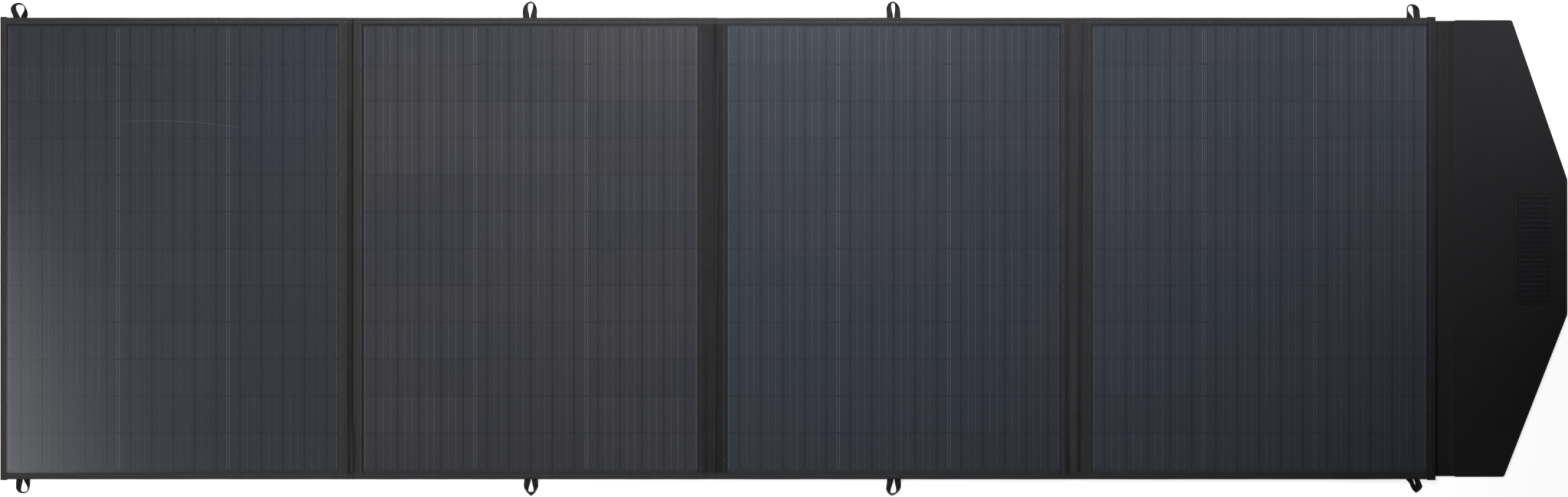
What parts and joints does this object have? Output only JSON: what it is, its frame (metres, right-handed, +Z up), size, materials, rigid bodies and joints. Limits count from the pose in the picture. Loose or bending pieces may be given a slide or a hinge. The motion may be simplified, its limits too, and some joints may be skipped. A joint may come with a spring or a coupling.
{
  "type": "roll-folding solar blanket",
  "caption": "Portable solar panel: stiffened panels of cut silicon cells joined by fabric hinges, bound edges with webbing loops, and a closing flap with a hook strip.",
  "frame": {"origin": "centre of the object's bounding box, on the surface it lies on, opened flat and face up", "axes": "+X along the row of panels towards the closing flap, +Y across the panels towards their top edge, +Z up out of the cell faces"},
  "size_m": [2.25, 0.711, 0.0084],
  "materials": {
    "face_film": "satin, finely dimpled",
    "cells": "dark blue-black silicon",
    "ribbon": "dulled solder-coated copper",
    "board": "matt glass-fibre laminate",
    "foam": "closed-cell foam",
    "back_cloth": "woven, coated",
    "bus_board": "solder resist",
    "binding": "woven tape",
    "webbing": "ribbed webbing",
    "hinge_cloth": "plain weave, wrinkled",
    "flat_cable": "flexible film cable",
    "flap_cloth": "plain weave",
    "hook": "hook tape, ribbed",
    "pile": "loop pile",
    "eyelet": "moulded"
  },
  "bodies": {
    "panel_1": {"front_film_1": "face_film", "solar_cells_1": "cells", "busbar_ribbons_1": "ribbon", "laminate_board_1": "board", "foam_core_1": "foam", "back_cover_1": "back_cloth", "terminal_board_1": "bus_board", "edge_binding_1": "binding", "webbing_loops_1": "webbing", "left_binding": "binding"},
    "panel_2": {"front_film_2": "face_film", "solar_cells_2": "cells", "busbar_ribbons_2": "ribbon", "laminate_board_2": "board", "foam_core_2": "foam", "back_cover_2": "back_cloth", "terminal_board_2": "bus_board", "edge_binding_2": "binding", "webbing_loops_2": "webbing"},
    "panel_3": {"front_film_3": "face_film", "solar_cells_3": "cells", "busbar_ribbons_3": "ribbon", "laminate_board_3": "board", "foam_core_3": "foam", "back_cover_3": "back_cloth", "terminal_board_3": "bus_board", "edge_binding_3": "binding", "webbing_loops_3": "webbing", "loop_patch": "pile"},
    "panel_4": {"front_film_4": "face_film", "solar_cells_4": "cells", "busbar_ribbons_4": "ribbon", "laminate_board_4": "board", "foam_core_4": "foam", "back_cover_4": "back_cloth", "terminal_board_4": "bus_board", "edge_binding_4": "binding", "webbing_loops_4": "webbing", "right_binding": "binding", "rear_pocket": "back_cloth", "cable_grommet": "eyelet"},
    "hinge_1": {"hinge_front_strip_1": "hinge_cloth", "hinge_back_strip_1": "hinge_cloth", "hinge_binding_1": "binding", "interconnect_1": "flat_cable"},
    "hinge_2": {"hinge_front_strip_2": "hinge_cloth", "hinge_back_strip_2": "hinge_cloth", "hinge_binding_2": "binding", "interconnect_2": "flat_cable"},
    "hinge_3": {"hinge_front_strip_3": "hinge_cloth", "hinge_back_strip_3": "hinge_cloth", "hinge_binding_3": "binding", "interconnect_3": "flat_cable"},
    "flap_hinge": {"flap_gusset": "flap_cloth"},
    "flap": {"flap_front_cover": "flap_cloth", "flap_back_cover": "flap_cloth", "flap_board": "board", "hook_strip": "hook"}
  },
  "joints": [
    {"name": "fold_3", "type": "hinge", "parent": "panel_4", "child": "hinge_3", "pos_m": [0.4292, 0, 0.00085], "axis": [0, 1, 0], "range_deg": [0, 90], "deforming": ["hinge_front_strip_3", "hinge_back_strip_3", "hinge_binding_3", "interconnect_3"]},
    {"name": "fold_3_far", "type": "hinge", "parent": "hinge_3", "child": "panel_3", "pos_m": [0.4078, 0, 0.00085], "axis": [0, 1, 0], "range_deg": [0, 90]},
    {"name": "fold_2", "type": "hinge", "parent": "panel_3", "child": "hinge_2", "pos_m": [-0.0975, 0, 0.00085], "axis": [0, 1, 0], "range_deg": [0, 90], "deforming": ["hinge_front_strip_2", "hinge_back_strip_2", "hinge_binding_2", "interconnect_2"]},
    {"name": "fold_2_far", "type": "hinge", "parent": "hinge_2", "child": "panel_2", "pos_m": [-0.113, 0, 0.00085], "axis": [0, 1, 0], "range_deg": [0, 90]},
    {"name": "fold_1", "type": "hinge", "parent": "panel_2", "child": "hinge_1", "pos_m": [-0.616, 0, 0.00085], "axis": [0, 1, 0], "range_deg": [0, 90], "deforming": ["hinge_front_strip_1", "hinge_back_strip_1", "hinge_binding_1", "interconnect_1"]},
    {"name": "fold_1_far", "type": "hinge", "parent": "hinge_1", "child": "panel_1", "pos_m": [-0.6256, 0, 0.00085], "axis": [0, 1, 0], "range_deg": [0, 90]},
    {"name": "flap_fold", "type": "hinge", "parent": "panel_4", "child": "flap_hinge", "pos_m": [0.9375, 0, 0.00085], "axis": [0, -1, 0], "range_deg": [0, 90], "deforming": ["flap_gusset"]},
    {"name": "flap_fold_far", "type": "hinge", "parent": "flap_hinge", "child": "flap", "pos_m": [0.9625, 0, 0.00085], "axis": [0, -1, 0], "range_deg": [0, 90]}
  ],
  "couplings": [
    {"joint": "fold_3_far", "follows": "fold_3", "ratio": 1},
    {"joint": "fold_2_far", "follows": "fold_2", "ratio": 1},
    {"joint": "fold_1_far", "follows": "fold_1", "ratio": 1},
    {"joint": "flap_fold_far", "follows": "flap_fold", "ratio": 1}
  ]
}
